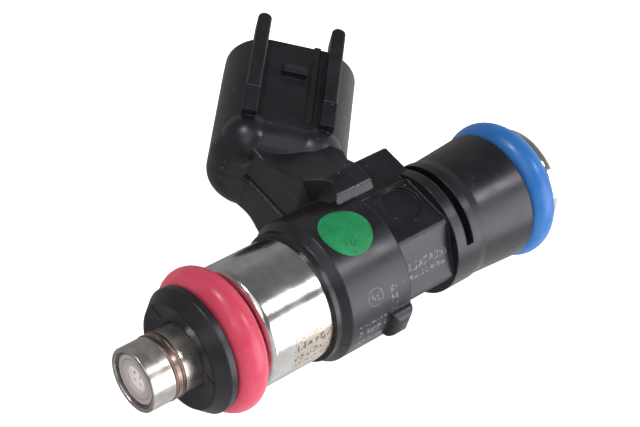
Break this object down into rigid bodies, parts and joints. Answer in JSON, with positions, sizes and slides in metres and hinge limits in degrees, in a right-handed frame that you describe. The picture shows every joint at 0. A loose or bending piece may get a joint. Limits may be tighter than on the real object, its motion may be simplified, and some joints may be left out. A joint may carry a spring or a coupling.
{
  "type": "fuel injector",
  "caption": "Port fuel injector with a coloured sealing ring at each end, a bright magnet housing, a plastic body and an angled electrical connector.",
  "frame": {"origin": "centre of the lower sealing ring, on the valve axis", "axes": "+X along the valve axis from the nozzle to the fuel inlet, +Y to the connector side, +Z out of the connector's latch face"},
  "size_m": [0.0507, 0.0368, 0.0148],
  "materials": {
    "pink_rubber": "satin",
    "blue_rubber": "satin",
    "stainless_tube": "satin",
    "weld_bead": "heat tinted",
    "hardened_steel": "ground",
    "plate_steel": "satin",
    "ball_steel": "polished",
    "needle_steel": "satin",
    "soft_iron": "satin",
    "spring_steel": "bright drawn",
    "brass": "turned",
    "filter_plastic": "natural",
    "filter_gauze": "fine woven",
    "polished_steel": "polished",
    "cap_plastic": "moulded",
    "nickel_plate": "bright nickel",
    "bobbin_plastic": "moulded",
    "copper_wire": "enamelled copper",
    "tinned_blade": "tin plated",
    "black_nylon": "satin moulded",
    "green_paint": "brushed dab"
  },
  "bodies": {
    "injector_body": {"lower_o_ring": "pink_rubber", "upper_o_ring": "blue_rubber", "valve_sleeve": "stainless_tube", "nozzle_weld_beads": "weld_bead", "valve_seat": "hardened_steel", "spray_orifice_plate": "plate_steel", "return_spring": "spring_steel", "inner_pole": "soft_iron", "adjusting_sleeve": "brass", "filter_frame": "filter_plastic", "filter_mesh": "filter_gauze", "filter_ring": "brass", "inlet_flange": "polished_steel", "lower_support_cap": "cap_plastic", "magnet_housing": "nickel_plate", "magnet_cover": "nickel_plate", "coil_bobbin": "bobbin_plastic", "coil_winding": "copper_wire", "connector_blades": "tinned_blade", "coil_leads": "copper_wire", "overmoulded_body": "black_nylon", "paint_dot": "green_paint"},
    "valve_group": {"armature": "soft_iron", "valve_needle": "needle_steel", "valve_ball": "ball_steel"}
  },
  "joints": [
    {"name": "needle_lift", "type": "slide", "parent": "injector_body", "child": "valve_group", "axis": [1, 0, 0], "range_m": [0, 0.00008], "stiffness_N_per_m": 6000, "springref_m": -0.0006, "deforming": ["return_spring"]}
  ]
}
